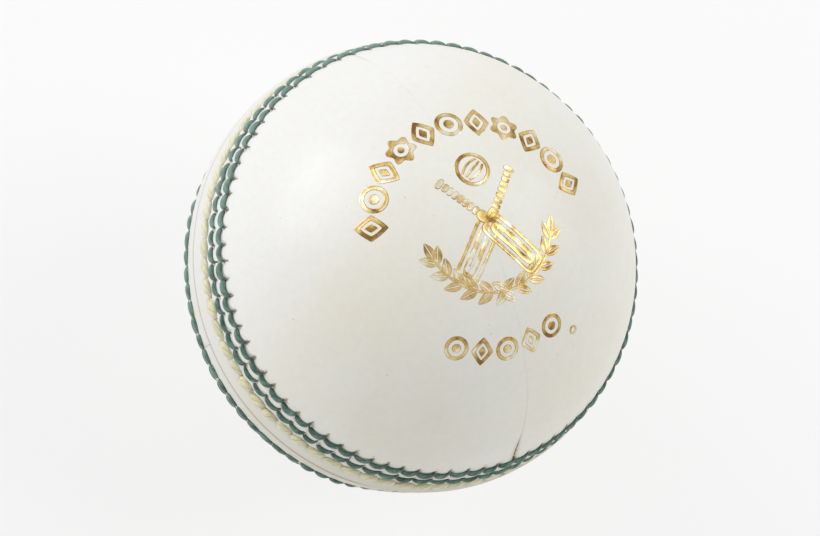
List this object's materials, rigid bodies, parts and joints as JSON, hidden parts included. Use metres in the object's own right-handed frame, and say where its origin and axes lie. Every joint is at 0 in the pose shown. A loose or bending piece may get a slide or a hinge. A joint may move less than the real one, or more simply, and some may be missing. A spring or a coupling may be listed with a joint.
{
  "type": "cricket ball",
  "caption": "White four-piece leather cricket ball with raised hand-stitched seam rows in green and cream thread, a gilt stamp on one crown, and a layered cork and yarn core.",
  "frame": {"origin": "centre of the ball", "axes": "+Z is the seam's polar axis, towards the crown that carries the stamp; the join between the two leather cups lies in the XY plane; +Y is the way up that the stamp is read, within 8 degrees; the upper cup's quarter seam lies in the YZ plane and the lower cup's in the XZ plane"},
  "size_m": [0.0728, 0.0728, 0.0716],
  "materials": {
    "white_leather": "white-dyed cowhide, lacquered and polished to a soft gloss",
    "green_thread": "waxed linen over-stitches, dull dark green",
    "cream_thread": "waxed linen thread, undyed cream",
    "linen": "plain-woven backing strip, matt",
    "worsted_yarn": "worsted yarn wound damp and tight, matt",
    "cork": "moulded cork, matt",
    "cork_rubber": "ground cork bonded with rubber, matt"
  },
  "bodies": {
    "root": {"leather_quarter_upper_left": "white_leather", "leather_quarter_upper_right": "white_leather", "leather_quarter_lower_front": "white_leather", "leather_quarter_lower_back": "white_leather", "closing_row_upper": "cream_thread", "inner_row_upper": "green_thread", "outer_row_upper": "green_thread", "backing_strip_upper": "linen", "inner_bobbin_upper": "cream_thread", "outer_bobbin_upper": "cream_thread", "quarter_thread_upper": "cream_thread", "outer_cork_upper": "cork", "inner_cork_upper": "cork", "closing_row_lower": "green_thread", "inner_row_lower": "green_thread", "outer_row_lower": "green_thread", "backing_strip_lower": "linen", "inner_bobbin_lower": "cream_thread", "outer_bobbin_lower": "cream_thread", "quarter_thread_lower": "cream_thread", "outer_cork_lower": "cork", "inner_cork_lower": "cork", "outer_winding": "worsted_yarn", "middle_winding": "worsted_yarn", "inner_winding": "worsted_yarn", "core_nucleus": "cork_rubber"}
  },
  "joints": []
}
